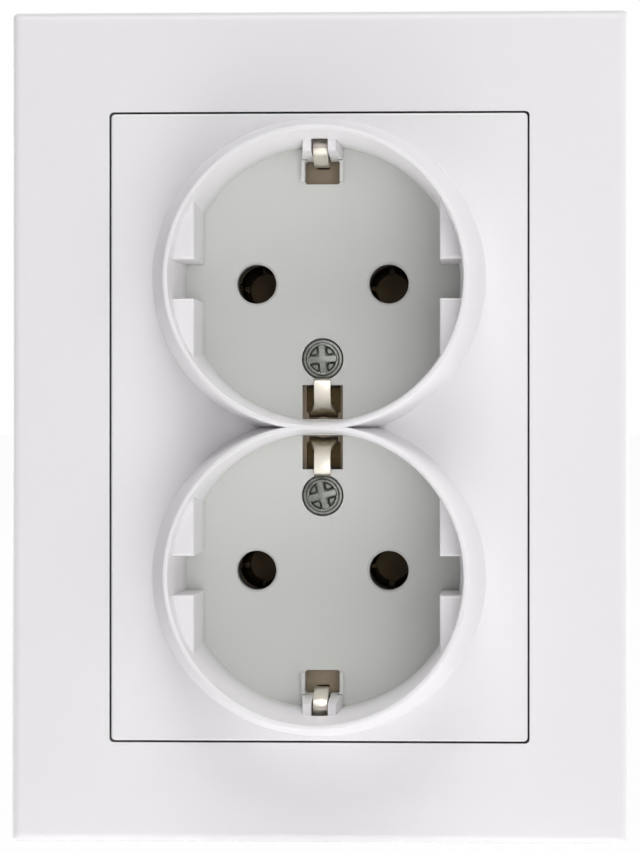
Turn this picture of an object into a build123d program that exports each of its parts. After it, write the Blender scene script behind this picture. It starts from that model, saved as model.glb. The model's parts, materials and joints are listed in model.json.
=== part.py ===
"""Double wall socket with two earthed wells, for one round flush box.

The origin lies on the wall, midway between the wells. +Z is up, +X is right for someone who
faces the wall, and the room is towards -Y. Every height below is measured from the wall
towards the room, so what stands inside the flush box has a negative height.
"""
import os
from math import atan2, degrees

from build123d import *

# Cover frame
frame_width = 86.8
frame_height = 116.7
frame_corner = 0.8
frame_edge_round = 1.5
frame_wall = 2.2
frame_face = 2.2
frame_sleeve_wall = 1.8
frame_rib = 1.2
frame_rib_depth = 8.0
ledge_width = 1.3
ledge_thickness = 1.6
ledge_height = 6.0
support_play = 0.4

# Centre plate
plate_width = 58.45
plate_end_margin = 0.7
plate_corner = 0.6
plate_edge_round = 0.35
plate_thickness = 2.2
plate_gap = 0.25
skirt_wall = 1.4
plate_rib = 1.2

# Wells
well_spacing = 41.1
well_depth = 17.5
floor_front = 4.2
floor_thickness = 2.0
floor_radius = 19.7
rim_radius = 20.3
rim_inner_round = 0.2
rim_outer_radius = 20.95
rim_outer_round = 0.4
collar_half_width = 23.4
collar_half_height = 22.4
collar_shift = 0.33
collar_height = 8.7
well_wall = 1.5

# Guide lands at the left and right of each well
guide_flat = 17.0
guide_slot = 5.5
guide_height = 14.0
guide_round = 0.35
wall_bite = 0.6

# Pin holes
pin_spacing = 19.0
pin_hole_radius = 2.83
pin_hole_chamfer = 0.3

# Earth windows, shrouds and fingers, measured outwards from the axis of their well
window_half_width = 2.9
inner_window_start = 14.5
inner_window_end = 19.4
outer_window_start = 14.25
outer_window_end = 17.65
outer_window_half_width = 2.5
outer_window_corner = 0.4
window_lip_end = 3.0
window_lip_start = 14.6
window_lip_height = 1.0
shroud_start = 17.65
shroud_end = 20.6
shroud_height = 8.0
shroud_half_width = 2.95
shroud_draft = 0.65
slot_half_width = 1.2
slot_end = 20.6
floor_slot_end = 18.7
outer_finger_width = 2.0
outer_root = 18.2
outer_crest = 16.3
outer_tip = 18.7
outer_crest_height = 5.6
outer_tip_height = 10.9
inner_finger_width = 2.4
inner_foot_width = 4.2
inner_root = 18.4
inner_crest = 15.2
inner_tip = 14.0
inner_crest_height = 5.3
inner_tip_height = 4.7
inner_narrow_height = 2.8
finger_bend = 0.9
finger_foot = 1.6

# Earth strap
strap_sheet = 0.8
strap_half_width = 4.5
strap_lance_gap = 0.3
strap_corner = 1.0

# Support plate
support_width = 71.0
support_height = 82.0
support_sheet = 1.0
support_corner = 4.0
cutout_width = 33.0
cutout_height = 13.0
cutout_neck = 18.0
cutout_shift = 2.0
cutout_corner = 2.5
box_screw_spacing = 60.0
box_slot_width = 3.8
box_slot_length = 8.0
wall_screw_spacing = 58.0
wall_screw_radius = 2.15

# Base body in the flush box
base_radius = 28.2
base_flat = 21.0
base_depth = 26.0
base_wall = 1.6
base_back = 1.4
base_back_chamfer = 1.2
guard_lip = 1.5
guard_clearance = 0.15
guard_play = 0.05
guard_slot_slack = 1.0

# Contact bars and their sleeves
pin_bore_radius = 2.45
sleeve_sheet = 0.8
sleeve_mouth_flare = 0.5
sleeve_mouth_length = 1.6
sleeve_split = 1.0
sleeve_split_root = 1.6
sleeve_front = -4.2
sleeve_pad = 0.3
sleeve_root = 0.25
bar_height = -15.05
bar_sheet = 1.0
bar_width = 5.0
pocket_clearance = 0.15
spring_ring_wall = 0.45
spring_ring_length = 4.5
spring_ring_gap = 1.4
spring_ring_front = -6.6
ring_clearance = 0.05

# Terminals: a spring leg clamps each wire against a blade
terminal_room = 6.9
terminal_half_length = 6.1
pole_face = 13.1
earth_face = 3.2
blade_sheet = 0.8
blade_half_length = 5.7
blade_end_gap = 0.8
wire_radius = 1.5
wire_funnel = 0.6
wire_offset = 2.4
wire_spacing = 8.8
clamp_sheet = 0.4
clamp_half_length = 5.9
clamp_back_leg = 6.4
clamp_turn = 4.9
clamp_tip = 0.6
clamp_tip_height = -17.6
clamp_top_height = -16.9
clamp_bend = 0.7
clamp_seat = 0.3
clamp_window = 2.7
clamp_window_near = 1.7
clamp_window_far = 5.6

# Release buttons
button_travel = 1.5
button_width = 2.7
button_height = 4.3
button_slide_clearance = 0.06
button_flange = 0.4
button_flange_sheet = 0.75
button_proud = 1.6
button_stop_gap = 0.39
button_round = 0.4

# Fasteners
cover_screw_place = 9.78
cover_head_radius = 2.8
cover_head_height = 1.5
cover_head_dome = 0.35
cover_head_step = 0.4
cover_crown_radius = 2.35
cover_head_sink = 1.2
cover_head_clearance = 0.2
cover_shank_radius = 1.5
cover_screw_length = 12.0
cover_screw_point = 1.0
cover_screw_taper = 0.7
cover_screw_room = 1.0
cover_cross_width = 0.9
cover_cross_length = 4.2
cover_cross_depth = 0.7
cover_turns = {-1: 15, 1: 4}
nut_width = 5.5
nut_thickness = 2.4
nut_clearance = 0.1
thread_clearance = 0.02
shank_clearance = 0.3
base_screw_x = 16.2
base_screw_z = 9.2
base_head_radius = 2.6
base_head_height = 1.0
base_head_chamfer = 0.3
base_shank_radius = 1.5
base_screw_length = 10.0
base_screw_point = 1.5
base_cross_width = 0.6
base_cross_length = 3.0
base_cross_depth = 0.7
rivet_head_radius = 1.5
rivet_head = 0.3
rivet_shank_radius = 0.95
rivet_tail = 0.65
rivet_clearance = 0.03
strap_rivet_place = 31.5

# How far a cut runs past the face that it opens
cut_over = 1.0

# Places that follow from the sizes above
rim_height = floor_front + well_depth
plate_front = rim_height - collar_height
plate_back = plate_front - plate_thickness
floor_back = floor_front - floor_thickness
well_offset = well_spacing / 2
collar_offset = well_offset + collar_shift
plate_height = 2 * (collar_offset + collar_half_height + plate_end_margin)
well_outer = floor_radius + well_wall
cutout_offset = well_offset - cutout_shift
opening_width = plate_width + 2 * plate_gap
opening_height = plate_height + 2 * plate_gap
sleeve_back = support_sheet + support_play
skirt_back = ledge_height
strap_back = support_sheet
strap_front = strap_back + strap_sheet
strap_half_length = well_offset + outer_root
contact_place = [(side * pin_spacing / 2, well * well_offset) for side in (-1, 1) for well in (-1, 1)]
guard_front = support_sheet - guard_play
sleeve_outer = pin_bore_radius + sleeve_sheet
pocket_radius = sleeve_outer + sleeve_mouth_flare + pocket_clearance
bar_back = bar_height - bar_sheet
chamber_floor = -base_depth + base_back
clamp_bottom = chamber_floor + clamp_seat
terminals = {"left": (-pole_face, -1), "right": (pole_face, 1), "earth": (-earth_face, 1)}
cover_head_seat = floor_front - cover_head_sink
blade_end = chamber_floor + blade_end_gap
clamp_rise = (clamp_tip_height - clamp_bottom) / (clamp_turn - clamp_tip)
clamp_bridge = clamp_tip_height - (clamp_window_near - clamp_tip) * clamp_rise
button_top = clamp_bridge - button_stop_gap - button_travel
base_screw_place = [(-base_screw_x, base_screw_z), (base_screw_x, -base_screw_z)]
rivet_hole_radius = rivet_shank_radius + rivet_clearance
strap_rivet_places = [(0, -strap_rivet_place), (0, strap_rivet_place)]

os.makedirs("parts", exist_ok=True)


def level(height):
    """Plane parallel to the wall, seen from the room: its x is X and its y is Z."""
    return Plane.XZ.offset(height)


def axial(x, z):
    """Plane through an axis square to the wall: its x runs to the right, its y towards the room."""
    return Plane(origin=(x, 0, z), x_dir=(1, 0, 0), z_dir=(0, 0, -1))


def axis_at(x, z):
    return Axis((x, 0, z), (0, -1, 0))


def side_plane(x=0):
    """Plane square to X: its x is Z and its y points towards the room."""
    return Plane(origin=(x, 0, 0), x_dir=(0, 0, 1), z_dir=(1, 0, 0))


def back_face(height):
    """Plane parallel to the wall, seen from inside the flush box."""
    return Plane(origin=(0, -height, 0), x_dir=(1, 0, 0), z_dir=(0, 1, 0))


def terminal_plane(face, outward):
    """Section through a terminal: x runs from the blade into the chamber, y towards the room."""
    return Plane(origin=(face, 0, 0), x_dir=(outward, 0, 0), z_dir=(0, 0, -outward))


def keep(piece, name):
    piece.part.label = name
    export_step(piece.part, f"parts/{name}.step")


# Cover frame: a thin moulding, open to the wall, with a sleeve and ledge that take the centre plate
with BuildPart() as cover_frame:
    with BuildSketch(level(0)) as frame_outline:
        Rectangle(frame_width, frame_height)
        fillet(frame_outline.vertices(), frame_corner)
    extrude(amount=plate_front)
    fillet(cover_frame.faces().sort_by(Axis.Y)[0].edges(), frame_edge_round)
    with BuildSketch(level(0)):
        Rectangle(frame_width - 2 * frame_wall, frame_height - 2 * frame_wall)
    extrude(amount=plate_front - frame_face, mode=Mode.SUBTRACT)
    with BuildSketch(level(sleeve_back)):
        Rectangle(opening_width + 2 * frame_sleeve_wall, opening_height + 2 * frame_sleeve_wall)
    extrude(amount=plate_front - frame_face - sleeve_back)
    with BuildSketch(level(plate_front - frame_rib_depth)):
        with GridLocations(0, opening_height / 2, 1, 3):
            Rectangle(frame_width - frame_wall, frame_rib)
        with GridLocations(opening_width / 2, 0, 3, 1):
            Rectangle(frame_rib, frame_height - frame_wall)
    extrude(amount=frame_rib_depth - frame_face)
    with BuildSketch(level(0)):
        Rectangle(opening_width - 2 * ledge_width, opening_height - 2 * ledge_width)
    extrude(amount=plate_front, mode=Mode.SUBTRACT)
    with BuildSketch(level(ledge_height)) as opening_outline:
        Rectangle(opening_width, opening_height)
        fillet(opening_outline.vertices(), plate_corner)
    extrude(amount=plate_front, mode=Mode.SUBTRACT)
    with BuildSketch(level(0)):
        Rectangle(opening_width, opening_height)
    extrude(amount=ledge_height - ledge_thickness, mode=Mode.SUBTRACT)
keep(cover_frame, "cover_frame")


# Centre plate: face, skirt, two wells with raised collars, guide lands and earth shrouds in one moulding
with BuildPart() as centre_plate:
    with BuildSketch(level(skirt_back)) as plate_outline:
        Rectangle(plate_width, plate_height)
        fillet(plate_outline.vertices(), plate_corner)
    extrude(amount=plate_front - skirt_back)
    fillet(centre_plate.faces().sort_by(Axis.Y)[0].edges(), plate_edge_round)
    with BuildSketch(level(skirt_back)):
        Rectangle(plate_width - 2 * skirt_wall, plate_height - 2 * skirt_wall)
    extrude(amount=plate_back - skirt_back, mode=Mode.SUBTRACT)
    with BuildSketch(level(skirt_back)):
        with Locations((0, -well_offset), (0, 0), (0, well_offset)):
            Rectangle(plate_width - skirt_wall, plate_rib)
    extrude(amount=plate_back - skirt_back)
    with BuildSketch(level(floor_back)):
        with GridLocations(0, well_spacing, 1, 2):
            Circle(well_outer)
    extrude(amount=plate_front - floor_back)
    # Collars: an oval foot on the plate narrows to a round rim
    for well in (-1, 1):
        with BuildPart(mode=Mode.PRIVATE) as collar:
            with BuildSketch(level(plate_front)):
                with Locations((0, well * collar_offset)):
                    Ellipse(collar_half_width, collar_half_height)
            with BuildSketch(level(rim_height)):
                with Locations((0, well * well_offset)):
                    Circle(rim_outer_radius)
            loft()
            fillet(collar.faces().sort_by(Axis.Y)[0].edges(), rim_outer_round)
        add(collar.part)
    for well in (-1, 1):
        with BuildSketch(axial(0, well * well_offset)):
            with BuildLine():
                wall_end = (rim_radius, rim_height - rim_inner_round)
                lip_end = (rim_radius + rim_inner_round, rim_height)
                Line((floor_radius, floor_front), wall_end)
                RadiusArc(wall_end, lip_end, rim_inner_round)
                cut_top = rim_height + cut_over
                Polyline(lip_end, (lip_end[0], cut_top), (0, cut_top), (0, floor_front),
                         (floor_radius, floor_front))
            make_face()
        revolve(axis=axis_at(0, well * well_offset), mode=Mode.SUBTRACT)
    # Guide lands, split by a slot at mid height
    with BuildPart(mode=Mode.PRIVATE) as guide_lands:
        with BuildSketch(level(floor_front)):
            with GridLocations(0, well_spacing, 1, 2):
                Circle(floor_radius + wall_bite)
            Rectangle(2 * guide_flat, 2 * plate_height, mode=Mode.SUBTRACT)
            with GridLocations(0, well_spacing, 1, 2):
                Rectangle(2 * plate_width, guide_slot, mode=Mode.SUBTRACT)
        extrude(amount=guide_height)
        land_tops = guide_lands.faces().filter_by(Axis.Y).group_by(Axis.Y)[0]
        fillet(land_tops.edges().filter_by(GeomType.LINE), guide_round)
    add(guide_lands.part)
    # Shrouds of the outer earth fingers, drafted towards the room, and the lips beside their windows
    with BuildSketch(level(floor_front)):
        with GridLocations(0, 2 * (well_offset + (shroud_start + shroud_end) / 2), 1, 2):
            Rectangle(2 * shroud_half_width, shroud_end - shroud_start)
    extrude(amount=shroud_height, taper=degrees(atan2(shroud_draft, shroud_height)))
    with BuildSketch(level(floor_front)):
        with GridLocations(0, 2 * (well_offset + (window_lip_start + shroud_start) / 2), 1, 2):
            Rectangle(2 * window_lip_end, shroud_start - window_lip_start)
    extrude(amount=window_lip_height)
    # Windows of the outer earth fingers, and the slots that their tips spring into
    with BuildSketch(level(floor_back)) as outer_windows:
        with GridLocations(0, 2 * (well_offset + (outer_window_start + outer_window_end) / 2), 1, 2):
            Rectangle(2 * outer_window_half_width, outer_window_end - outer_window_start)
        fillet(outer_windows.vertices(), outer_window_corner)
    extrude(amount=floor_thickness + window_lip_height, mode=Mode.SUBTRACT)
    with BuildSketch(level(floor_back)):
        with GridLocations(0, 2 * (well_offset + (outer_window_start + floor_slot_end) / 2), 1, 2):
            Rectangle(2 * slot_half_width, floor_slot_end - outer_window_start)
    extrude(amount=floor_thickness, mode=Mode.SUBTRACT)
    with BuildSketch(level(floor_front)):
        with GridLocations(0, 2 * (well_offset + (shroud_start + slot_end) / 2), 1, 2):
            Rectangle(2 * slot_half_width, slot_end - shroud_start)
    extrude(amount=shroud_height, mode=Mode.SUBTRACT)
    # Windows of the inner earth fingers, beside the wall that parts the wells
    with BuildSketch(level(floor_back)):
        with GridLocations(0, 2 * (well_offset - (inner_window_start + inner_window_end) / 2), 1, 2):
            Rectangle(2 * window_half_width, inner_window_end - inner_window_start)
    extrude(amount=floor_thickness, mode=Mode.SUBTRACT)
    with Locations(level(floor_front)):
        with GridLocations(pin_spacing, well_spacing, 2, 2):
            CounterSinkHole(pin_hole_radius, pin_hole_radius + pin_hole_chamfer,
                            depth=floor_thickness, counter_sink_angle=90)
        with GridLocations(0, 2 * cover_screw_place, 1, 2):
            CounterBoreHole(cover_shank_radius + shank_clearance,
                            cover_head_radius + cover_head_clearance, cover_head_sink,
                            depth=floor_thickness)
keep(centre_plate, "centre_plate")


# Support plate: punched sheet steel that lies on the wall and carries the rest
with BuildPart() as support_plate:
    with BuildSketch(level(0)) as support_outline:
        Rectangle(support_width, support_height)
        fillet(support_outline.vertices(), support_corner)
        with BuildSketch(mode=Mode.PRIVATE) as cutout:
            with GridLocations(0, 2 * cutout_offset, 1, 2):
                Rectangle(cutout_width, cutout_height)
            Rectangle(cutout_neck, well_spacing)
            fillet(cutout.vertices(), cutout_corner)
        add(cutout.sketch, mode=Mode.SUBTRACT)
        with GridLocations(box_screw_spacing, 0, 2, 1):
            SlotOverall(box_slot_length, box_slot_width, mode=Mode.SUBTRACT)
        with GridLocations(wall_screw_spacing, wall_screw_spacing, 2, 2):
            Circle(wall_screw_radius, mode=Mode.SUBTRACT)
        with Locations(*base_screw_place):
            Circle(base_shank_radius + shank_clearance, mode=Mode.SUBTRACT)
    extrude(amount=support_sheet)
    with Locations(back_face(0)):
        with Locations(*strap_rivet_places):
            CounterSinkHole(rivet_hole_radius, rivet_hole_radius + rivet_tail,
                            depth=support_sheet, counter_sink_angle=90)
keep(support_plate, "support_plate")


# Earth strap: one strip of plated spring brass with four fingers bent up into the wells
with BuildPart() as earth_strap:
    with BuildSketch(level(strap_back)):
        Rectangle(2 * strap_half_width, 2 * strap_half_length)
        inner_lance = well_offset - (inner_window_start + inner_root) / 2
        with GridLocations(0, 2 * inner_lance, 1, 2):
            Rectangle(inner_foot_width + 2 * strap_lance_gap, inner_root - inner_window_start,
                      mode=Mode.SUBTRACT)
    extrude(amount=strap_sheet)
    fillet(earth_strap.edges().filter_by(Axis.Y).group_by(Axis.Z)[0], strap_corner)
    fillet(earth_strap.edges().filter_by(Axis.Y).group_by(Axis.Z)[-1], strap_corner)
    outer_line = [(outer_root - finger_foot, strap_back), (outer_root, strap_back),
                  (outer_crest + strap_sheet, outer_crest_height),
                  (outer_tip + strap_sheet, outer_tip_height)]
    inner_line = [(-inner_root - finger_foot, strap_back), (-inner_root, strap_back),
                  (-inner_crest, inner_crest_height), (-inner_tip, inner_tip_height)]
    for well, upper_side in ((-1, Side.RIGHT), (1, Side.LEFT)):
        for line, width in ((outer_line, outer_finger_width), (inner_line, inner_foot_width)):
            with BuildPart(mode=Mode.PRIVATE) as finger:
                with BuildSketch(side_plane()):
                    with BuildLine():
                        FilletPolyline(*[(well * (well_offset + r), h) for r, h in line], radius=finger_bend)
                        offset(amount=strap_sheet, side=upper_side)
                    make_face()
                extrude(amount=width / 2, both=True)
                if line is inner_line:
                    # The inner fingers are broad at the foot and narrow where they rise
                    with BuildSketch(axial(0, 0)) as finger_front:
                        Polygon((0, strap_back), (inner_foot_width / 2, strap_back),
                                (inner_foot_width / 2, strap_front),
                                (inner_finger_width / 2, inner_narrow_height),
                                (inner_finger_width / 2, rim_height), (0, rim_height), align=None)
                        mirror(finger_front.sketch_local, about=Plane.YZ)
                    extrude(amount=well_spacing, both=True, mode=Mode.INTERSECT)
            add(finger.part)
    with Locations(level(strap_front)):
        with GridLocations(0, 2 * cover_screw_place, 1, 2):
            Hole(cover_shank_radius + shank_clearance, depth=strap_sheet)
        with Locations((0, 0), (0, -strap_rivet_place), (0, strap_rivet_place)):
            Hole(rivet_hole_radius, depth=strap_sheet)
keep(earth_strap, "earth_strap")


# Touch guard: the insulating cover that closes the base and lets only the pins through
with BuildPart() as touch_guard:
    with BuildSketch(level(-guard_lip)):
        Circle(base_radius - base_wall - guard_clearance)
        Rectangle(2 * (base_flat - base_wall - guard_clearance), 2 * base_radius, mode=Mode.INTERSECT)
    extrude(amount=guard_lip)
    with BuildSketch(level(0)) as guard_step:
        with GridLocations(0, 2 * cutout_offset, 1, 2):
            Rectangle(cutout_width - 2 * guard_clearance,
                      cutout_height - 2 * guard_clearance)
        Rectangle(cutout_neck - 2 * guard_clearance, well_spacing)
        fillet(guard_step.vertices(), cutout_corner - guard_clearance)
    extrude(amount=guard_front)
    with Locations(level(guard_front)):
        with GridLocations(pin_spacing, well_spacing, 2, 2):
            CounterSinkHole(pin_hole_radius, pin_hole_radius + pin_hole_chamfer, counter_sink_angle=90)
        with GridLocations(0, 2 * cover_screw_place, 1, 2):
            Hole(cover_shank_radius + shank_clearance)
    with BuildSketch(level(strap_back - blade_sheet - guard_play)):
        Rectangle(2 * (earth_face + blade_sheet + guard_clearance), 2 * (blade_half_length + guard_clearance))
    extrude(amount=blade_sheet + guard_play, mode=Mode.SUBTRACT)
    with BuildSketch(level(-guard_lip)):
        with Locations((-earth_face - blade_sheet / 2, 0)):
            Rectangle(blade_sheet + 2 * guard_clearance + guard_slot_slack,
                      2 * (blade_half_length + guard_clearance))
    extrude(amount=guard_lip + guard_front, mode=Mode.SUBTRACT)
    with Locations(level(0)):
        with Locations(*base_screw_place):
            Hole(base_shank_radius + shank_clearance)
keep(touch_guard, "touch_guard")


# Base: the moulded body in the flush box, with a pocket for every live piece
with BuildPart() as socket_base:
    with BuildSketch(level(-base_depth)):
        Circle(base_radius)
        Rectangle(2 * base_flat, 2 * base_radius, mode=Mode.INTERSECT)
    extrude(amount=base_depth)
    chamfer(socket_base.faces().sort_by(Axis.Y)[-1].edges(), base_back_chamfer)
    with BuildSketch(level(-guard_lip)):
        Circle(base_radius - base_wall)
        Rectangle(2 * (base_flat - base_wall), 2 * base_radius, mode=Mode.INTERSECT)
    extrude(amount=guard_lip, mode=Mode.SUBTRACT)
    with BuildSketch(level(bar_back)):
        with Locations(*contact_place):
            Circle(pocket_radius)
        with GridLocations(pin_spacing, 0, 2, 1):
            Rectangle(bar_width + 2 * pocket_clearance, well_spacing)
    extrude(amount=-bar_back - guard_lip, mode=Mode.SUBTRACT)
    for face, outward in terminals.values():
        chamber_near = face - outward * (blade_sheet + pocket_clearance)
        chamber_far = face + outward * terminal_room
        with BuildSketch(level(chamber_floor)):
            with Locations(((chamber_near + chamber_far) / 2, 0)):
                Rectangle(abs(chamber_far - chamber_near), 2 * terminal_half_length)
        extrude(amount=-chamber_floor - guard_lip, mode=Mode.SUBTRACT)
        with Locations(back_face(-base_depth)):
            with Locations((face + outward * wire_offset, 0)):
                with GridLocations(0, wire_spacing, 1, 2):
                    CounterSinkHole(wire_radius, wire_radius + wire_funnel, depth=base_back,
                                    counter_sink_angle=90)
        with BuildSketch(level(-base_depth)):
            with Locations((face + outward * wire_offset, 0)):
                Rectangle(button_width + 2 * button_slide_clearance,
                          button_height + 2 * button_slide_clearance)
        extrude(amount=base_back, mode=Mode.SUBTRACT)
    for side in (-1, 1):
        with BuildSketch(level(bar_back)):
            with Locations((side * (pin_spacing + 2 * pole_face) / 4, 0)):
                Rectangle(pole_face - pin_spacing / 2 + blade_sheet, 2 * terminal_half_length)
        extrude(amount=-bar_back - guard_lip, mode=Mode.SUBTRACT)
    with BuildSketch(level(-guard_lip - nut_thickness - nut_clearance)):
        with GridLocations(0, 2 * cover_screw_place, 1, 2):
            Rectangle(nut_width + 2 * nut_clearance, nut_width + 2 * nut_clearance)
    extrude(amount=nut_thickness + nut_clearance, mode=Mode.SUBTRACT)
    with BuildSketch(level(cover_head_seat - cover_screw_length - cover_screw_room)):
        with GridLocations(0, 2 * cover_screw_place, 1, 2):
            Circle(cover_shank_radius + shank_clearance)
    extrude(amount=cover_screw_length, mode=Mode.SUBTRACT)
    with Locations(level(0)):
        with Locations(*base_screw_place):
            Hole(base_shank_radius + thread_clearance, depth=base_screw_length)
keep(socket_base, "socket_base")


# Contact bars: one brass piece per pole, with a split sleeve for each pin and a blade for the wires
for pole, side in (("left", -1), ("right", 1)):
    bar_x = side * pin_spacing / 2
    with BuildPart() as contact_bar:
        with BuildSketch(level(bar_back)):
            with Locations((bar_x, 0)):
                Rectangle(bar_width, well_spacing)
                with GridLocations(0, well_spacing, 1, 2):
                    Circle(sleeve_outer + sleeve_pad)
            with Locations((side * (pin_spacing / 2 + pole_face) / 2, 0)):
                Rectangle(pole_face - pin_spacing / 2, 2 * blade_half_length)
        extrude(amount=bar_sheet)
        with BuildSketch(level(blade_end)):
            with Locations((side * (pole_face - blade_sheet / 2), 0)):
                Rectangle(blade_sheet, 2 * blade_half_length)
        extrude(amount=bar_back - blade_end)
        for well in (-1, 1):
            with BuildSketch(axial(bar_x, well * well_offset)):
                with BuildLine():
                    throat = sleeve_front - sleeve_mouth_length
                    root = bar_height - sleeve_root
                    Polyline((pin_bore_radius, root), (sleeve_outer, root), (sleeve_outer, throat),
                             (sleeve_outer + sleeve_mouth_flare, sleeve_front),
                             (pin_bore_radius + sleeve_mouth_flare, sleeve_front), (pin_bore_radius, throat),
                             (pin_bore_radius, root))
                make_face()
            revolve(axis=axis_at(bar_x, well * well_offset))
        with BuildSketch(level(bar_height + sleeve_split_root)):
            with Locations((bar_x, 0)):
                Rectangle(sleeve_split, 2 * well_spacing)
                with GridLocations(0, well_spacing, 1, 2):
                    Rectangle(2 * pocket_radius, sleeve_split)
        extrude(amount=-bar_height, mode=Mode.SUBTRACT)
    keep(contact_bar, f"contact_bar_{pole}")
    for height_name, well in (("lower", -1), ("upper", 1)):
        with BuildPart() as contact_spring:
            with BuildSketch(level(spring_ring_front - spring_ring_length)):
                with Locations((bar_x, well * well_offset)):
                    Circle(sleeve_outer + ring_clearance + spring_ring_wall)
                    Circle(sleeve_outer + ring_clearance, mode=Mode.SUBTRACT)
                with Locations((bar_x, well * (well_offset + sleeve_outer))):
                    Rectangle(spring_ring_gap, sleeve_outer, mode=Mode.SUBTRACT)
            extrude(amount=spring_ring_length)
        keep(contact_spring, f"contact_spring_{height_name}_{pole}")


# Earth blade: carries the strap's earth back to the middle terminal
with BuildPart() as earth_blade:
    with BuildSketch(level(strap_back - blade_sheet)):
        Rectangle(2 * (earth_face + blade_sheet), 2 * blade_half_length)
        Circle(rivet_hole_radius, mode=Mode.SUBTRACT)
    extrude(amount=blade_sheet)
    with BuildSketch(level(blade_end)):
        with Locations((-earth_face - blade_sheet / 2, 0)):
            Rectangle(blade_sheet, 2 * blade_half_length)
    extrude(amount=strap_back - blade_sheet - blade_end)
    with Locations(back_face(strap_back - blade_sheet)):
        CounterSinkHole(rivet_hole_radius, rivet_hole_radius + rivet_tail,
                        depth=blade_sheet, counter_sink_angle=90)
keep(earth_blade, "earth_blade")


# Wire clamps and their release buttons, one of each for every terminal
for terminal, (face, outward) in terminals.items():
    with BuildPart() as wire_clamp:
        with BuildSketch(terminal_plane(face, outward)):
            with BuildLine():
                FilletPolyline((clamp_back_leg, clamp_top_height), (clamp_back_leg, clamp_bottom),
                               (clamp_turn, clamp_bottom), (clamp_tip, clamp_tip_height), radius=clamp_bend)
                offset(amount=clamp_sheet, side=Side.RIGHT)
            make_face()
        extrude(amount=clamp_half_length, both=True)
        with BuildSketch(terminal_plane(face, outward)):
            with Locations(((clamp_window_near + clamp_window_far) / 2, clamp_bottom)):
                Rectangle(clamp_window_far - clamp_window_near, 2 * (clamp_tip_height - clamp_bottom))
        extrude(amount=clamp_window, both=True, mode=Mode.SUBTRACT)
    keep(wire_clamp, f"wire_clamp_{terminal}")

    with BuildPart() as release_button:
        with BuildSketch(level(-base_depth - button_proud)):
            with Locations((face + outward * wire_offset, 0)):
                Rectangle(button_width, button_height)
        extrude(amount=button_top + base_depth + button_proud)
        fillet(release_button.faces().sort_by(Axis.Y)[-1].edges(), button_round)
        with BuildSketch(level(chamber_floor + guard_play)):
            with Locations((face + outward * wire_offset, 0)):
                Rectangle(button_width + 2 * button_flange, button_height + 2 * button_flange)
        extrude(amount=button_flange_sheet)
    keep(release_button, f"release_button_{terminal}")


# Cover screws: two alike, with a rounded crown inside a flat ring and a cross in the crown
with BuildPart() as cover_screws:
    for end, turn in cover_turns.items():
        with BuildSketch(axial(0, end * cover_screw_place)):
            with BuildLine():
                head_top = cover_head_seat + cover_head_height
                crown_side = (cover_crown_radius, head_top - cover_head_dome)
                ring_height = head_top - cover_head_step
                shank_end = cover_head_seat - cover_screw_length
                TangentArc((0, head_top), crown_side, tangent=(1, 0))
                Polyline(crown_side, (cover_crown_radius, ring_height), (cover_head_radius, ring_height),
                         (cover_head_radius, cover_head_seat), (cover_shank_radius, cover_head_seat),
                         (cover_shank_radius, shank_end + cover_screw_point),
                         (cover_shank_radius - cover_screw_taper, shank_end), (0, shank_end), (0, head_top))
            make_face()
        revolve(axis=axis_at(0, end * cover_screw_place))
        with BuildSketch(level(head_top - cover_cross_depth)):
            with Locations(Location((0, end * cover_screw_place), turn)):
                Rectangle(cover_cross_width, cover_cross_length)
                Rectangle(cover_cross_length, cover_cross_width)
        extrude(amount=cover_cross_depth, mode=Mode.SUBTRACT)
keep(cover_screws, "cover_screws")


# Nuts that the cover screws pull on, held against turning in the base
with BuildPart() as cover_nuts:
    with BuildSketch(level(-guard_lip - nut_thickness - nut_clearance / 2)):
        with GridLocations(0, 2 * cover_screw_place, 1, 2):
            Rectangle(nut_width, nut_width)
            Circle(cover_shank_radius + thread_clearance, mode=Mode.SUBTRACT)
    extrude(amount=nut_thickness)
keep(cover_nuts, "cover_nuts")


# Screws that hold the support plate to the base
with BuildPart() as base_screws:
    for x, z in base_screw_place:
        with BuildSketch(axial(x, z)):
            with BuildLine():
                screw_top = support_sheet + base_head_height
                screw_end = support_sheet - base_screw_length
                Polyline((0, screw_top), (base_head_radius - base_head_chamfer, screw_top),
                         (base_head_radius, screw_top - base_head_chamfer),
                         (base_head_radius, support_sheet), (base_shank_radius, support_sheet),
                         (base_shank_radius, screw_end + base_screw_point),
                         (0, screw_end), (0, screw_top))
            make_face()
        revolve(axis=axis_at(x, z))
    with BuildSketch(level(support_sheet + base_head_height - base_cross_depth)):
        with Locations(*base_screw_place):
            Rectangle(base_cross_width, base_cross_length)
            Rectangle(base_cross_length, base_cross_width)
    extrude(amount=base_head_height, mode=Mode.SUBTRACT)
keep(base_screws, "base_screws")


# Rivets: two hold the strap to the support plate, one holds it to the earth blade
rivet_sets = {"strap_rivets": (strap_rivet_places, 0), "earth_rivet": ([(0, 0)], strap_back - blade_sheet)}
for name, (places, tail_height) in rivet_sets.items():
    with BuildPart() as rivets:
        for x, z in places:
            with BuildSketch(axial(x, z)):
                with BuildLine():
                    Polyline((0, strap_front + rivet_head), (rivet_head_radius, strap_front + rivet_head),
                             (rivet_head_radius, strap_front), (rivet_shank_radius, strap_front),
                             (rivet_shank_radius, tail_height + rivet_tail),
                             (rivet_shank_radius + rivet_tail, tail_height), (0, tail_height),
                             (0, strap_front + rivet_head))
                make_face()
            revolve(axis=axis_at(x, z))
    keep(rivets, name)
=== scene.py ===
"""Looks of a double wall socket: white moulded cover, nickel-plated earth fingers, zinc-plated screws."""
import json
import math

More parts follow.
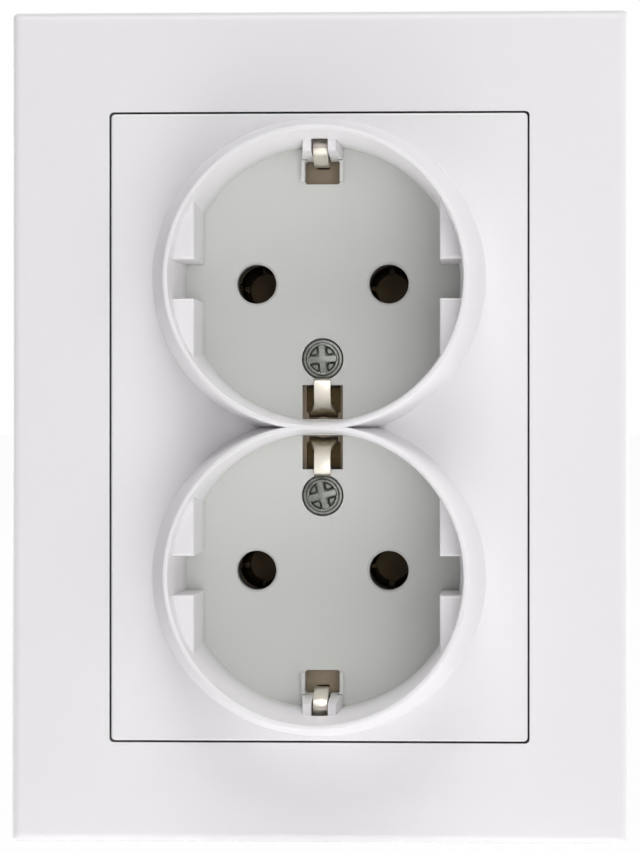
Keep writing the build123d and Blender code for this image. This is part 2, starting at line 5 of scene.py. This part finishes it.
import bmesh
import bpy
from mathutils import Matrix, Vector


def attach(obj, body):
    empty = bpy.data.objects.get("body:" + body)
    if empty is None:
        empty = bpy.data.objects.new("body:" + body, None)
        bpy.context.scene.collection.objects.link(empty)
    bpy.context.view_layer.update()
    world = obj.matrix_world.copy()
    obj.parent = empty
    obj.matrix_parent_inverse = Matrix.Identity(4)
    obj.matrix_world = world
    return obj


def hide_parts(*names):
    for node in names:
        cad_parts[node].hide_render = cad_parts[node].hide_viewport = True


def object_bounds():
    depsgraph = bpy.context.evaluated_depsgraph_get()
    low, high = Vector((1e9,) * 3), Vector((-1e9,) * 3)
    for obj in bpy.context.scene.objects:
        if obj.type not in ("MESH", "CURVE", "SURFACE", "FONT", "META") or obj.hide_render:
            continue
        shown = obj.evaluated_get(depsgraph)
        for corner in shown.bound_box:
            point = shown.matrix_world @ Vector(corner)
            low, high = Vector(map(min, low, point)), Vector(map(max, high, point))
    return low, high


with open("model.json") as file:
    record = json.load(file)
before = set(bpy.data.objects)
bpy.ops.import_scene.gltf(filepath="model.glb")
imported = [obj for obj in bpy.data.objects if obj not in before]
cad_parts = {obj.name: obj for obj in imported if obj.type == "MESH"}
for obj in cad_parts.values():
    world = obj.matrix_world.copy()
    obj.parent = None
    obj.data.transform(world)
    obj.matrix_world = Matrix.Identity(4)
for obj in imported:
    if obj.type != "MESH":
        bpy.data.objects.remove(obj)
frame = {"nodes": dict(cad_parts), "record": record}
cad_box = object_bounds()
nodes = frame["nodes"]
bodies = frame["record"]["behaviour"]["bodies"]
body_of = {node: body for body, held in bodies.items() for node in held}

MM = 0.001

# The photograph's frame in pixels, and its focal length in the same pixels
image_width = 640
image_height = 853
focal_px = 2665

# The camera stands to the right of the middle, level with it. Places are in metres.
camera_x = 0.02275
camera_y = -0.3857
sensor_mm = 36
nearest_seen = 0.01
farthest_seen = 20
plate_front_y = -0.013

# Shifts of the lens, and where the plate's middle lies across the picture, in pixels
side_shift_px = 77
upright_shift_px = 0.7
plate_centre_px = 318.9

# Side of each square lamp, and the floor's reach each way, in metres
lamp_size = 0.5
floor_reach = 20.0

# How much of the floor is plain white where it is seen, and the light that the surround gives
floor_whiteness = 0.97
surround_light = 0.04

# Sizes of the source that the scene's own pieces repeat, in millimetres. Heights count from the wall,
# and finger_root, lance_start and strap_end from a well's middle.
well_offset = 20.55
strap_sheet = 0.8
strap_middle = 1.4
strap_half_width = 4.5
strap_corner = 1.0
strap_end = 18.2
lance_half_width = 2.4
lance_start = 14.5
finger_root = 18.4
foot_half_width = 2.1
tip_half_width = 1.2
strap_hole_radius = 1.8
screw_place = 9.78
screw_seat = 3.0
screw_top = 4.5
screw_radius = 2.8
crown_radius = 2.35
crown_fall = 0.35
shank_radius = 1.5
screw_end = -9.0
point_length = 1.0

# Sizes that only the scene's strap has, in millimetres, and the degrees between points of an arc
outer_half_width = 1.05
narrowing_half_width = 1.7
strip_edge = 0.08
finger_edge = 0.15
arc_step = 15

# Sizes that only the scene's screws have, in millimetres. A pair is where a slope starts and ends.
screw_rim = 3.7
crown_step = (crown_radius - 0.1, crown_radius + 0.1)
ring_drop = 0.24
arm_depth = 0.22
arm_side = (0.4, 0.52)
arm_end = (1.95, 2.1)
pocket_depth = 0.8
pocket_side = (0.45, 0.75)
pocket_inner = (0.8, 1.2)
pocket_outer = (1.7, 2.0)
thread_pitch = 0.7
thread_depth = 0.35

# How fast the ring outside the crown falls with the square of its width, the point's share of the
# shank's radius, and the turn of the cross in degrees for the lower and the upper screw
ring_fall = 0.5
point_share = 0.55
cross_turns = {-1: 15, 1: 4}


def linear(hex_colour):
    """An sRGB hex colour as linear red, green, blue and alpha."""
    parts = [int(hex_colour[i:i + 2], 16) / 255 for i in (1, 3, 5)]
    return tuple(c / 12.92 if c <= 0.04045 else ((c + 0.055) / 1.055) ** 2.4 for c in parts) + (1.0,)


def add(tree, kind, links=None, **settings):
    """Adds a node. Settings are its properties, or its inputs by name; links are inputs to feed."""
    node = tree.nodes.new(kind)
    for name, value in settings.items():
        if hasattr(node, name):
            setattr(node, name, value)
        else:
            node.inputs[name.replace("_", " ")].default_value = value
    for name, source in (links or {}).items():
        tree.links.new(source, node.inputs[name])
    return node


def new_material(name, **shader):
    """A material with one principled shader, whose uniform values are set on its own sockets."""
    material = bpy.data.materials.new(name)
    material.use_nodes = True
    tree = material.node_tree
    tree.nodes.clear()
    surface = add(tree, "ShaderNodeBsdfPrincipled", **shader)
    add(tree, "ShaderNodeOutputMaterial", {"Surface": surface.outputs["BSDF"]})
    return material, tree, surface


def stops(ramp, *pairs):
    """Sets a colour ramp's stops, each a position and an sRGB hex colour."""
    elements = ramp.color_ramp.elements
    for element, (place, colour) in zip(elements, pairs):
        element.position = place
        element.color = linear(colour)


def grain(tree, surface, size_mm, strength, depth_mm, stretch=(1, 1, 1)):
    """Bump of a grain size_mm apart, drawn out along the axes that stretch makes small."""
    place = add(tree, "ShaderNodeTexCoord")
    mapping = add(tree, "ShaderNodeMapping", {"Vector": place.outputs["Object"]}, Scale=stretch)
    noise = add(tree, "ShaderNodeTexNoise", {"Vector": mapping.outputs["Vector"]},
                Scale=1 / (size_mm * MM), Detail=3.0, Roughness=0.55)
    bump = add(tree, "ShaderNodeBump", {"Height": noise.outputs["Fac"]}, Strength=strength,
               Distance=depth_mm * MM)
    tree.links.new(bump.outputs["Normal"], surface.inputs["Normal"])


def mottled(tree, surface, size_mm, low, high, rough_low, rough_high):
    """Slow changes of colour and gloss, as plating and moulding leave them."""
    first, last = 0.3, 0.7
    place = add(tree, "ShaderNodeTexCoord")
    noise = add(tree, "ShaderNodeTexNoise", {"Vector": place.outputs["Object"]},
                Scale=1 / (size_mm * MM), Detail=4.0, Roughness=0.6)
    ramp = add(tree, "ShaderNodeValToRGB", {"Fac": noise.outputs["Fac"]})
    stops(ramp, (first, low), (last, high))
    gloss = add(tree, "ShaderNodeMapRange", {"Value": noise.outputs["Fac"]},
                From_Min=first, From_Max=last, To_Min=rough_low, To_Max=rough_high)
    tree.links.new(ramp.outputs["Color"], surface.inputs["Base Color"])
    tree.links.new(gloss.outputs["Result"], surface.inputs["Roughness"])


def dust_and_painted_shade_in_joints(tree, surface, reach_mm, darkest):
    """Dust and painted shade in narrow joints: the base colour goes down where almost no sky is open within
    reach_mm.
    """
    shut, clear = 0.05, 0.3
    openness = add(tree, "ShaderNodeAmbientOcclusion", samples=4, Distance=reach_mm * MM)
    shade = add(tree, "ShaderNodeMapRange", {"Value": openness.outputs["AO"]},
                From_Min=shut, From_Max=clear, To_Min=darkest, To_Max=1.0)
    colour = surface.inputs["Base Color"].links[0].from_socket
    dusty_and_shaded = add(tree, "ShaderNodeVectorMath", {0: colour, "Scale": shade.outputs["Result"]},
                operation="SCALE")
    tree.links.new(dusty_and_shaded.outputs["Vector"], surface.inputs["Base Color"])


def moulded_white_polycarbonate():
    # Polycarbonate out of a fine eroded mould: an even, faintly cool white with a soft satin sheen,
    # and a dark line in the joint between plate and frame, partly dust and partly painted shade.
    # The base colour goes greyer down the wells: its neutral hue is the plastic's own tone, and its
    # darkening is painted shade that keeps their floors dull beside the bright front.
    # The real grain is about 0.05 mm, too fine to show, so it is drawn at 0.25 mm.
    material, tree, surface = new_material("moulded_white_polycarbonate", IOR=1.58, Roughness=0.4,
                                           Specular_IOR_Level=0.25)
    place = add(tree, "ShaderNodeTexCoord")
    axes = add(tree, "ShaderNodeSeparateXYZ", {"Vector": place.outputs["Object"]})
    depth = add(tree, "ShaderNodeMapRange", {"Value": axes.outputs["Y"]},
                From_Min=-9 * MM, From_Max=-4.5 * MM)
    # Painted shade: darker and more neutral towards the well floors.
    tone_and_painted_light = add(tree, "ShaderNodeValToRGB", {"Fac": depth.outputs["Result"]})
    stops(tone_and_painted_light, (0.0, "#EDEBED"), (1.0, "#D9DAD7"))
    tree.links.new(tone_and_painted_light.outputs["Color"], surface.inputs["Base Color"])
    dust_and_painted_shade_in_joints(tree, surface, 1.2, 0.15)
    grain(tree, surface, 0.25, 0.05, 0.01)
    return material


def moulded_grey_thermoset():
    # Mineral-filled thermoset: matt dark grey, with a slight speckle of its filler.
    material, tree, surface = new_material("moulded_grey_thermoset", IOR=1.55)
    mottled(tree, surface, 0.8, "#2F3032", "#3A3B3D", 0.5, 0.62)
    grain(tree, surface, 0.4, 0.1, 0.02)
    return material


def moulded_polyamide_grey_as_shade():
    # Polyamide cover, quite matt; its dark grey is painted shade, so the pin holes look black.
    material, tree, surface = new_material("moulded_polyamide_grey_as_shade", IOR=1.53)
    mottled(tree, surface, 6, "#3C3C3B", "#464645", 0.5, 0.6)
    grain(tree, surface, 0.4, 0.08, 0.015)
    return material


def zinc_plated_sheet():
    # Cold-rolled sheet, zinc plated: pale blue-grey metal with faint rolling lines up and down.
    material, tree, surface = new_material("zinc_plated_sheet", Metallic=1.0)
    mottled(tree, surface, 5, "#BFC1C3", "#CDCFD0", 0.3, 0.42)
    grain(tree, surface, 0.3, 0.12, 0.01, (1, 1, 0.04))
    return material


def nickel_plated_spring_brass():
    # Rolled spring brass under thin nickel, with scratches along the strip. Its colour goes with the height
    # off the wall: near-white on the fingers' crests, partly the polish that plugs leave and partly a
    # painted highlight, then brass yellow at the feet and brown on the flat behind them, which is painted
    # shade deep in the windows.
    material, tree, surface = new_material("nickel_plated_spring_brass", Metallic=1.0)
    grain(tree, surface, 0.25, 0.4, 0.012, (1, 0.08, 0.08))
    place = add(tree, "ShaderNodeTexCoord")
    axes = add(tree, "ShaderNodeSeparateXYZ", {"Vector": place.outputs["Object"]})
    blotches = add(tree, "ShaderNodeTexNoise", {"Vector": place.outputs["Object"]},
                   Scale=1 / (1.1 * MM), Detail=4.0)
    wavy = add(tree, "ShaderNodeMath", {0: blotches.outputs["Fac"], 2: axes.outputs["Y"]},
               operation="MULTIPLY_ADD")
    wavy.inputs[1].default_value = 1.6 * MM
    height = add(tree, "ShaderNodeMapRange", {"Value": wavy.outputs[0]},
                 From_Min=-0.9 * MM, From_Max=-4.0 * MM)
    # The ramp by height paints shade onto the flat and a highlight onto the crests.
    tone_and_painted_light = add(tree, "ShaderNodeValToRGB", {"Fac": height.outputs["Result"]})
    tone_and_painted_light.color_ramp.elements.new(0.5)
    stops(tone_and_painted_light, (0.12, "#8C8070"), (0.4, "#B9AC8E"), (0.8, "#F5EFE2"))
    gloss = add(tree, "ShaderNodeMapRange", {"Value": height.outputs["Result"]}, To_Min=0.55, To_Max=0.3)
    tree.links.new(tone_and_painted_light.outputs["Color"], surface.inputs["Base Color"])
    tree.links.new(gloss.outputs["Result"], surface.inputs["Roughness"])
    return material


def zinc_plated_screw():
    # Cold-headed steel, barrel zinc plated: dull grey, blotched and slightly pitted.
    material, tree, surface = new_material("zinc_plated_screw", Metallic=1.0)
    mottled(tree, surface, 0.9, "#72746F", "#969893", 0.3, 0.5)
    # Painted shade, with some dust, darkens the cross recess and the pockets between its arms.
    dust_and_painted_shade_in_joints(tree, surface, 0.4, 0.55)
    grain(tree, surface, 0.35, 0.3, 0.02)
    return material


def shaded_bare_brass_strip():
    # Punched brass strip, unplated, darkened almost to black as painted shade for the contacts down the pin
    # holes.
    material, tree, surface = new_material("shaded_bare_brass_strip", Metallic=1.0)
    mottled(tree, surface, 2, "#55493A", "#655845", 0.4, 0.55)
    grain(tree, surface, 0.2, 0.15, 0.01, (1, 1, 0.08))
    return material


def tarnished_and_shaded_brass():
    # Unplated brass strip, brown, dull and uneven: partly a heavy tarnish, partly painted shade for the
    # strip seen deep behind the windows.
    material, tree, surface = new_material("tarnished_and_shaded_brass", Metallic=1.0)
    mottled(tree, surface, 1.2, "#4A3E2C", "#6B5A3D", 0.45, 0.6)
    grain(tree, surface, 0.2, 0.15, 0.01)
    return material


def rolled_spring_steel():
    # Hardened steel strip: dark bluish grey with a dull polish.
    material, tree, surface = new_material("rolled_spring_steel", Metallic=1.0)
    mottled(tree, surface, 1.5, "#85878A", "#9C9EA0", 0.25, 0.38)
    grain(tree, surface, 0.2, 0.1, 0.01, (1, 0.08, 1))
    return material


def moulded_button(name, low, high):
    # Small polyamide moulding: solid colour, slightly glossy where a screwdriver presses it.
    material, tree, surface = new_material(name, IOR=1.53)
    mottled(tree, surface, 1.5, low, high, 0.35, 0.5)
    grain(tree, surface, 0.3, 0.08, 0.01)
    return material


finishes = {
    "white_plastic": moulded_white_polycarbonate(),
    "base_plastic": moulded_grey_thermoset(),
    "guard_plastic": moulded_polyamide_grey_as_shade(),
    "zinc_steel": zinc_plated_sheet(),
    "nickel_brass": nickel_plated_spring_brass(),
    "zinc_screws": zinc_plated_screw(),
    "brass": shaded_bare_brass_strip(),
    "dull_brass": tarnished_and_shaded_brass(),
    "spring_steel": rolled_spring_steel(),
    "button_black": moulded_button("moulded_black_button", "#17171A", "#222226"),
    "button_blue": moulded_button("moulded_blue_button", "#1D4C93", "#2558A3"),
    "button_green": moulded_button("moulded_green_button", "#2C7A3F", "#37894A"),
}


def new_piece(name, vertices, faces, sharp_degrees):
    """A smooth-shaded object from points in millimetres, given as across, up and height off the wall."""
    mesh = bpy.data.meshes.new(name)
    mesh.from_pydata([(x * MM, -height * MM, up * MM) for x, up, height in vertices], [], faces)
    edit = bmesh.new()
    edit.from_mesh(mesh)
    bmesh.ops.recalc_face_normals(edit, faces=edit.faces)
    edit.to_mesh(mesh)
    edit.free()
    mesh.shade_smooth()
    mesh.set_sharp_from_angle(angle=math.radians(sharp_degrees))
    piece = bpy.data.objects.new(name, mesh)
    bpy.context.scene.collection.objects.link(piece)
    return piece


def rounded(points):
    """Cuts the corners of an open line three times, which leaves smooth bends and its two ends."""
    near, far = 0.75, 0.25
    for _ in range(3):
        cut = [points[0]]
        for a, b in zip(points, points[1:]):
            cut.append(tuple(near * p + far * q for p, q in zip(a, b)))
            cut.append(tuple(far * p + near * q for p, q in zip(a, b)))
        points = cut + [points[-1]]
    return points


def rings_to_faces(rings, around, first):
    """Faces between rings of points, the first of which starts at vertex first, with both ends closed."""
    faces = []
    for ring in range(rings - 1):
        for k in range(around):
            here = first + ring * around
            step = (k + 1) % around
            faces.append((here + k, here + step, here + around + step, here + around + k))
    last = first + (rings - 1) * around
    faces.append(tuple(range(first, first + around)))
    faces.append(tuple(range(last, last + around)))
    return faces


def strip_section(half_width):
    """Section of the strip with rounded edges, as points across it and through its thickness."""
    half = strap_sheet / 2
    # The middle of a corner's three points, on the rounding
    middle = 0.3 * finger_edge
    insets = [(finger_edge, 0), (middle, middle), (0, finger_edge)]
    points = []
    for side, face in ((1, 1), (1, -1), (-1, -1), (-1, 1)):
        corner = insets if side == face else insets[::-1]
        points += [(side * (half_width - across), face * (half - through)) for across, through in corner]
    return points


def bent_finger(stations, well, end, vertices, faces):
    """Adds one finger. Its stations are radius in the well, height and half width, at mid thickness."""
    line = rounded(stations)
    first = len(vertices)
    for k, (radius, height, half_width) in enumerate(line):
        before = line[max(k - 1, 0)]
        after = line[min(k + 1, len(line) - 1)]
        run, rise = after[0] - before[0], after[1] - before[1]
        size = math.hypot(run, rise)
        out_r, out_h = -rise / size, run / size
        section = strip_section(half_width)
        for across, through in section:
            up = well * (well_offset + end * (radius + through * out_r))
            vertices.append((across, up, height + through * out_h))
    faces.extend(rings_to_faces(len(line), len(section), first))


def arc(x, y, radius, start, stop):
    """Points on an arc round x, y, between two angles in degrees that both count."""
    angles = [math.radians(degrees) for degrees in range(start, stop + 1, arc_step)]
    return [(x + radius * math.cos(angle), y + radius * math.sin(angle)) for angle in angles]


def add_loop(outline, points):
    """Adds a closed loop of straight stretches to a curve, from points in millimetres."""
    spline = outline.splines.new("POLY")
    spline.points.add(len(points) - 1)
    for point, (x, y) in zip(spline.points, points):
        point.co = (x * MM, y * MM, 0, 1)
    spline.use_cyclic_u = True


def flat_strip():
    """The strap's flat with its lance openings and screw holes, as a filled outline with rounded edges."""
    outline = bpy.data.curves.new("strap_outline", "CURVE")
    outline.dimensions = "2D"
    outline.fill_mode = "BOTH"
    outline.extrude = (strap_sheet / 2 - strip_edge) * MM
    outline.bevel_depth = strip_edge * MM
    outline.offset = -strip_edge * MM
    corner_x = strap_half_width - strap_corner
    corner_y = well_offset + strap_end - strap_corner
    corners = []
    for x, y, start in ((1, 1, 0), (-1, 1, 90), (-1, -1, 180), (1, -1, 270)):
        corners += arc(x * corner_x, y * corner_y, strap_corner, start, start + 90)
    add_loop(outline, corners)
    wide = lance_half_width
    for well in (-1, 1):
        low = well * (well_offset - finger_root)
        high = well * (well_offset - lance_start)
        add_loop(outline, [(-wide, low), (wide, low), (wide, high), (-wide, high)])
        add_loop(outline, arc(0, well * screw_place, strap_hole_radius, 0, 360 - arc_step))
    shape = bpy.data.objects.new("strap_outline", outline)
    mesh = bpy.data.meshes.new_from_object(shape)
    vertices = [(v.co.x / MM, v.co.y / MM, strap_middle + v.co.z / MM) for v in mesh.vertices]
    faces = [tuple(p.vertices) for p in mesh.polygons]
    bpy.data.objects.remove(shape)
    bpy.data.meshes.remove(mesh)
    return vertices, faces


def make_earth_strap():
    """The earth strap with the smooth bends of its fingers, which catch the light as bright bands."""
    vertices, faces = flat_strip()
    # Stations as radius and height. The inner finger narrows between its foot and its tip.
    outer_run = ((16.6, strap_middle), (strap_end, strap_middle), (18.0, 2.2), (16.6, 5.4), (17.5, 8.4),
                 (18.2, 9.6), (18.9, 9.9), (19.4, 9.2), (20.0, 7.9))
    outer = [(radius, height, outer_half_width) for radius, height in outer_run]
    inner_foot = ((20.4, strap_middle), (18.9, strap_middle), (18.5, 2.0))
    inner_tip = ((17.3, 4.1), (16.4, 4.7), (14.7, 5.0), (14.1, 4.9), (13.9, 4.3))
    inner = [(radius, height, foot_half_width) for radius, height in inner_foot]
    inner += [(18.0, 2.8, narrowing_half_width)]
    inner += [(radius, height, tip_half_width) for radius, height in inner_tip]
    for well in (-1, 1):
        bent_finger(outer, well, 1, vertices, faces)
        bent_finger(inner, well, -1, vertices, faces)
    strap = new_piece("plated_earth_strap", vertices, faces, sharp_degrees=35)
    strap.data.materials.append(finishes["nickel_brass"])
    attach(strap, body_of["earth_strap"])
    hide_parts("earth_strap")


def smooth_step(value, slope):
    """How far a value has come from a slope's start to its end, from 0 to 1 and eased at both."""
    start, end = slope
    share = min(max((value - start) / (end - start), 0), 1)
    return share * share * (3 - 2 * share)


def head_height(radius, angle, turn):
    """Height of a cover screw's head: crown, lower ring, cross and the four pockets between its arms."""
    crown = screw_top - crown_fall * (radius / crown_radius) ** 2
    ring = screw_top - crown_fall - ring_drop - ring_fall * max(radius - crown_radius, 0) ** 2
    height = crown + (ring - crown) * smooth_step(radius, crown_step)
    if radius < crown_radius:
        across = abs(radius * math.cos(angle - turn))
        along = abs(radius * math.sin(angle - turn))
        side = min(across, along)
        arm = (1 - smooth_step(side, arm_side)) * (1 - smooth_step(max(across, along), arm_end))
        pocket = smooth_step(radius, pocket_inner) * (1 - smooth_step(radius, pocket_outer))
        height -= arm_depth * arm + pocket_depth * pocket * smooth_step(side, pocket_side)
    return height


def thread_radius(height, turned):
    """Radius of a cover screw's thread at a height and a share of a turn, narrower at its point."""
    phase = (height / thread_pitch + turned) % 1
    point = smooth_step(height, (screw_end, screw_end + point_length))
    return (shank_radius - thread_depth * abs(2 * phase - 1)) * (point_share + (1 - point_share) * point)


def make_cover_screws():
    """The two cover screws with pressed cross heads and cut threads."""
    around = 96
    head_rings = 44
    rows_per_thread = 6
    row = thread_pitch / rows_per_thread
    rows = int((screw_seat - screw_end) / thread_pitch * rows_per_thread)
    # Each ring has a radius, a height or both: the head works out the height, the thread the radius
    profile = [(screw_radius * (k + 0.5) / head_rings, None) for k in range(head_rings)]
    profile += [(screw_radius, screw_rim), (screw_radius, screw_seat), (shank_radius, screw_seat)]
    profile += [(None, screw_seat - (k + 1) * row) for k in range(rows)]
    vertices = []
    faces = []
    for end, degrees in cross_turns.items():
        turn = math.radians(degrees)
        centre = end * screw_place
        first = len(vertices)
        for radius, height in profile:
            for k in range(around):
                turned = k / around
                angle = 2 * math.pi * turned
                here = thread_radius(height, turned) if radius is None else radius
                level = head_height(here, angle, turn) if height is None else height
                vertices.append((here * math.cos(angle), centre + here * math.sin(angle), level))
        faces.extend(rings_to_faces(len(profile), around, first))
    screws = new_piece("cross_head_screws", vertices, faces, sharp_degrees=50)
    screws.data.materials.append(finishes["zinc_screws"])
    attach(screws, body_of["cover_screws"])
    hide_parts("cover_screws")


def dress_nodes():
    """Gives each CAD node the finish of its material slot in the record."""
    for row in frame["record"]["subparts"]:
        node = nodes[row["node"]]
        node.data.materials.clear()
        node.data.materials.append(finishes[row["material_slot"]])


def place_camera():
    """Looks from beside the middle, turned part of the way towards it; the lens shift takes up the rest."""
    data = bpy.data.cameras.new("camera")
    data.sensor_width = sensor_mm
    data.lens = focal_px / image_height * sensor_mm
    data.shift_x = -side_shift_px / image_height
    data.shift_y = upright_shift_px / image_height
    data.clip_start = nearest_seen
    data.clip_end = farthest_seen
    camera = bpy.data.objects.new("camera", data)
    bpy.context.scene.collection.objects.link(camera)
    to_plate = math.atan2(camera_x, plate_front_y - camera_y)
    on_image = math.atan2(image_width / 2 + side_shift_px - plate_centre_px, focal_px)
    camera.location = (camera_x, camera_y, 0)
    camera.rotation_euler = (math.pi / 2, 0, to_plate - on_image)
    bpy.context.scene.camera = camera


def area_lamp(name, place, watts):
    """A soft square white lamp that looks at the socket's middle."""
    data = bpy.data.lights.new(name, "AREA")
    data.size = lamp_size
    data.energy = watts
    lamp = bpy.data.objects.new(name, data)
    bpy.context.scene.collection.objects.link(lamp)
    lamp.location = place
    lamp.rotation_euler = (-Vector(place)).to_track_quat("-Z", "Y").to_euler()


def white_when_seen(tree, shader, white, whiteness):
    """Mixes a shader towards a white one for camera, glossy and transmission rays."""
    rays = add(tree, "ShaderNodeLightPath").outputs
    direct = add(tree, "ShaderNodeMath", {0: rays["Is Camera Ray"], 1: rays["Is Glossy Ray"]},
                 operation="MAXIMUM")
    seen = add(tree, "ShaderNodeMath", {0: direct.outputs[0], 1: rays["Is Transmission Ray"]},
               operation="MAXIMUM")
    share = add(tree, "ShaderNodeMath", {0: seen.outputs[0]}, operation="MULTIPLY")
    share.inputs[1].default_value = whiteness
    return add(tree, "ShaderNodeMixShader", {"Fac": share.outputs[0], 1: shader, 2: white})


def make_floor():
    """Pale floor that the frame's lower edge stands on."""
    level = cad_box[0].z
    corners = [(x * floor_reach, y * floor_reach, level) for x, y in ((-1, -1), (1, -1), (1, 1), (-1, 1))]
    mesh = bpy.data.meshes.new("floor")
    mesh.from_pydata(corners, [], [(0, 1, 2, 3)])
    floor = bpy.data.objects.new("floor", mesh)
    bpy.context.scene.collection.objects.link(floor)
    material = bpy.data.materials.new("pale_floor")
    material.use_nodes = True
    tree = material.node_tree
    tree.nodes.clear()
    matt = add(tree, "ShaderNodeBsdfDiffuse", Color=linear("#EDEDED"))
    glow = add(tree, "ShaderNodeEmission", Color=linear("#FFFFFF"), Strength=1.0)
    mix = white_when_seen(tree, matt.outputs[0], glow.outputs[0], floor_whiteness)
    add(tree, "ShaderNodeOutputMaterial", {"Surface": mix.outputs[0]})
    mesh.materials.append(material)
    # The lamps below the floor's level light the socket through it
    floor.visible_shadow = False


def make_surround():
    """White surround that gives hardly any light of its own."""
    world = bpy.data.worlds.new("surround")
    bpy.context.scene.world = world
    world.use_nodes = True
    tree = world.node_tree
    tree.nodes.clear()
    room = add(tree, "ShaderNodeBackground", Color=linear("#FFFFFF"), Strength=surround_light)
    backdrop = add(tree, "ShaderNodeBackground", Color=linear("#FFFFFF"), Strength=1.0)
    mix = white_when_seen(tree, room.outputs[0], backdrop.outputs[0], 1.0)
    add(tree, "ShaderNodeOutputWorld", {"Surface": mix.outputs[0]})


def light_socket():
    """Lamps above, below and to the right leave the wells in half shade; others edge the frame and light
    the back. Each has its place in metres and its power in watts."""
    front_lamps = {
        "lamp_above": ((0.0, -0.42, 0.91), 5.2),
        "lamp_below": ((0.0, -0.42, -0.91), 3.6),
        "lamp_front": ((0.34, -0.94, 0.0), 1.6),
        "lamp_front_high": ((0.28, -0.77, 0.57), 0.6),
        "lamp_front_low": ((0.28, -0.77, -0.57), 2.0),
        "lamp_right": ((0.77, -0.64, 0.0), 1.2),
        "lamp_right_grazing": ((0.81, -0.14, 0.57), 0.5),
    }
    edge_lamps = {"lamp_edge_left": ((-0.82, 0.57, 0.0), 5.0), "lamp_edge_right": ((0.94, 0.34, 0.0), 3.6)}
    back_lamps = {"lamp_back_left": ((-0.6, 0.9, 0.5), 4.0), "lamp_back_right": ((0.7, 0.8, 0.1), 3.0)}
    for name, (place, watts) in (front_lamps | edge_lamps | back_lamps).items():
        area_lamp(name, place, watts)


place_camera()
dress_nodes()
make_earth_strap()
make_cover_screws()
make_floor()
make_surround()
light_socket()
bpy.context.scene.view_settings.view_transform = "Standard"
